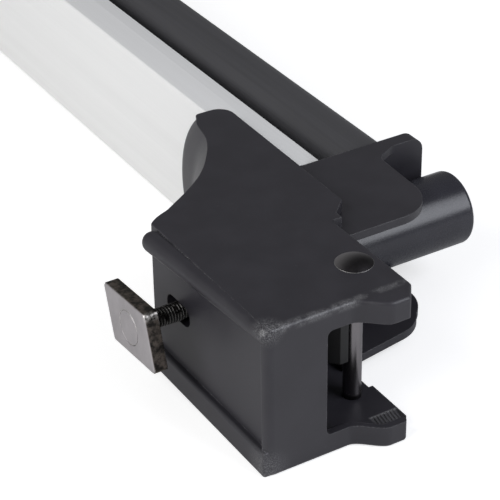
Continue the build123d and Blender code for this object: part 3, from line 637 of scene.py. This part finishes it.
def area_lamp(name, power, size, where, colour=(1.0, 1.0, 1.0)):
    """Soft box that looks at the rack."""
    data = bpy.data.lights.new(name, "AREA")
    data.shape = "RECTANGLE"
    data.size, data.size_y = size
    data.energy = power
    data.color = colour
    lamp = bpy.data.objects.new(name, data)
    lamp.location = where
    lamp.rotation_euler = (place(*LAMP_AIM) - where).to_track_quat("-Z", "Y").to_euler()
    bpy.context.scene.collection.objects.link(lamp)


def stand_camera():
    """Camera at the photograph's angle."""
    camera = bpy.data.cameras.new("Camera")
    camera.sensor_width = 36.0
    camera.lens = CAMERA_LENS
    camera.clip_start = 0.01
    holder = bpy.data.objects.new("Camera", camera)
    bpy.context.scene.collection.objects.link(holder)
    ahead = Vector(CAMERA_AHEAD).normalized()
    up = Vector(CAMERA_RIGHT).normalized().cross(ahead).normalized()
    right = ahead.cross(up).normalized()
    turn = Matrix((right, up, -ahead)).transposed().to_4x4()
    holder.matrix_world = Matrix.Translation(place(*CAMERA_PLACE)) @ turn
    bpy.context.scene.camera = holder


class RACK_OT_stage(bpy.types.Operator):
    """Lay the paper floor, hang the lamps and set the camera at the photograph's angle"""

    bl_idname = "ski_rack.stage"
    bl_label = "Studio"

    def execute(self, context):
        studio = context.scene.ski_rack.studio
        context.scene.view_settings.view_transform = "Standard"
        stand_camera()
        lay_paper(tuple(studio.floor_colour), studio.paper_glow)
        light_room(tuple(studio.floor_colour), studio.sky_strength)
        area_lamp("side_box", studio.side_strength, size=(0.9, 0.9), where=place(*SIDE_BOX))
        area_lamp("front_box", studio.front_strength, size=(0.7, 0.9), where=place(*FRONT_BOX),
                  colour=COOL_WHITE)
        return {"FINISHED"}


# Pieces


class RACK_OT_housings(bpy.types.Operator):
    """Finish the moulded housings, caps and cover"""

    bl_idname = "ski_rack.housings"
    bl_label = "Housings and Caps"

    def execute(self, context):
        black = tuple(context.scene.ski_rack.finish.plastic)
        nylon = moulded_black("moulded_nylon", black, roughness=0.44, grain=0.3)
        shell = housing_with_wear_and_painted_light("housing_nylon", black, roughness=0.44, grain=0.3)
        dress(shell.material, "latch_housing", "hinge_housing")
        dress(nylon.material, "upper_end_cap", "hinge_cap", "latch_cover")
        return {"FINISHED"}


class RACK_OT_button(bpy.types.Operator):
    """Finish the release button and the latch slide"""

    bl_idname = "ski_rack.button"
    bl_label = "Button and Slide"

    def execute(self, context):
        gloss = moulded_black("button_black", (0.019, 0.019, 0.026), roughness=0.27, grain=0.5,
                              grain_depth=0.006, soften=0.3, scuffs=0.3)
        # The slide's near-black, darker than the housings' nylon, is its own black and partly painted shade
        # inside the cap.
        slide_black_with_shade = moulded_black("slide_black", (0.005, 0.005, 0.0055), roughness=0.5, grain=0.6,
                               grain_depth=0.004, soften=0.3, scuffs=0.1)
        dress(gloss.material, "release_button")
        dress(slide_black_with_shade.material, "latch_slide")
        return {"FINISHED"}


class RACK_OT_arms(bpy.types.Operator):
    """Finish the silver lower arm and the black upper arm"""

    bl_idname = "ski_rack.arms"
    bl_label = "Arms"

    def execute(self, context):
        colours = context.scene.ski_rack.finish
        silver = tuple(colours.silver)
        black = tuple(colours.black_arm)
        dress(anodised("silver_anodised", silver, times(silver, 0.96), roughness=0.5, metallic=0.08),
              "lower_arm")
        dress(anodised("black_anodised", black, times(black, 1.3), roughness=0.5, metallic=0.2),
              "upper_arm")
        return {"FINISHED"}


class RACK_OT_pads(bpy.types.Operator):
    """Finish the rubber pads that grip the skis"""

    bl_idname = "ski_rack.pads"
    bl_label = "Pads"

    def execute(self, context):
        dress(rubber("pad_rubber", (0.012, 0.012, 0.012)), "lower_pad", "upper_pad")
        return {"FINISHED"}


class RACK_OT_fasteners(bpy.types.Operator):
    """Finish the pins, washers, nuts and screws"""

    bl_idname = "ski_rack.fasteners"
    bl_label = "Pins, Nuts and Screws"

    def execute(self, context):
        dark = pin_steel("pin_steel", dark=(0.016, 0.015, 0.016), bright=(0.03, 0.028, 0.03),
                         painted_sheen_colour=(0.42, 0.405, 0.415), edge_colour=(0.6, 0.59, 0.58),
                         shank_colour=(0.26, 0.245, 0.255))
        zinc = plated_steel("zinc_plate", (0.62, 0.62, 0.61), roughness=0.32)
        dress(dark, "strike_pin", "hinge_pin")
        dress(zinc, "hinge_washers", "clamp_washer_latch_end", "clamp_washer_hinge_end",
              "clamp_nut_latch_end", "clamp_nut_hinge_end", "arm_screws", "cap_screws", "cover_screws")
        return {"FINISHED"}


class RACK_OT_t_bolts(bpy.types.Operator):
    """Finish the T-bolts and cut the threads of their studs"""

    bl_idname = "ski_rack.t_bolts"
    bl_label = "T-Bolts"

    def execute(self, context):
        hardware = context.scene.ski_rack.hardware
        steel = welded_steel("bolt_steel", tuple(context.scene.ski_rack.finish.steel),
                             scorched=(0.035, 0.032, 0.03), bronze=(0.175, 0.148, 0.128),
                             edge_colour=(0.85, 0.83, 0.8))
        run = THREAD_STOP - THREAD_START
        depth = THREAD_ROOT + hardware.thread_crest
        sizes = {"Radius": (STUD_RADIUS - THREAD_ROOT + depth / 2) * MM, "Rise": run * MM,
                 "Turns": run / hardware.thread_pitch, "Steps": 40, "Depth": depth * MM,
                 "Foot Width": THREAD_FOOT_SHARE * hardware.thread_pitch * MM,
                 "Crest Width": THREAD_CREST_WIDTH * MM}
        for end, length in (("latch_end", BOLT_INSET), ("hinge_end", RACK_LENGTH - BOLT_INSET)):
            dress(steel, f"t_bolt_{end}")
            thread = wound(f"thread_{end}", sizes, ridge, steel)
            settle(thread, Matrix.Rotation(pi / 2, 4, "Y"), place(THREAD_START, length, BOLT_WIDTH))
            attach(thread, f"bolt_{end}")
        return {"FINISHED"}


class RACK_OT_springs(bpy.types.Operator):
    """Wind the springs of the button and the slide"""

    bl_idname = "ski_rack.springs"
    bl_label = "Springs"

    def execute(self, context):
        hardware = context.scene.ski_rack.hardware
        steel = plated_steel("spring_wire", (0.5, 0.5, 0.5), roughness=0.28)
        wind(BUTTON_SPRING, hardware.button_coils, steel)
        wind(LATCH_SPRING, hardware.latch_coils, steel)
        return {"FINISHED"}


OPERATORS = (RACK_OT_stage, RACK_OT_housings, RACK_OT_button, RACK_OT_arms, RACK_OT_pads,
             RACK_OT_fasteners, RACK_OT_t_bolts, RACK_OT_springs)


class RACK_PT_panel(bpy.types.Panel):
    """Pieces of the ski rack"""

    bl_idname = "RACK_PT_panel"
    bl_label = "Ski Rack"
    bl_space_type = "VIEW_3D"
    bl_region_type = "UI"
    bl_category = "Ski Rack"

    def draw(self, context):
        layout = self.layout
        rack = context.scene.ski_rack
        for group in (rack.studio, rack.finish, rack.hardware):
            box = layout.box()
            for name in group.bl_rna.properties.keys():
                if name not in {"rna_type", "name"}:
                    box.prop(group, name)
        for operator in OPERATORS:
            layout.operator(operator.bl_idname)


CLASSES = (StudioSettings, FinishSettings, HardwareSettings, RackSettings, *OPERATORS, RACK_PT_panel)


def register():
    for each in CLASSES:
        bpy.utils.register_class(each)
    bpy.types.Scene.ski_rack = PointerProperty(
        type=RackSettings, name="Ski Rack", description="Settings of the rack")


def unregister():
    del bpy.types.Scene.ski_rack
    for each in reversed(CLASSES):
        bpy.utils.unregister_class(each)


def main():
    register()
    for operator in OPERATORS:
        family, name = operator.bl_idname.split(".")
        getattr(getattr(bpy.ops, family), name)()


if __name__ == "__main__":
    main()
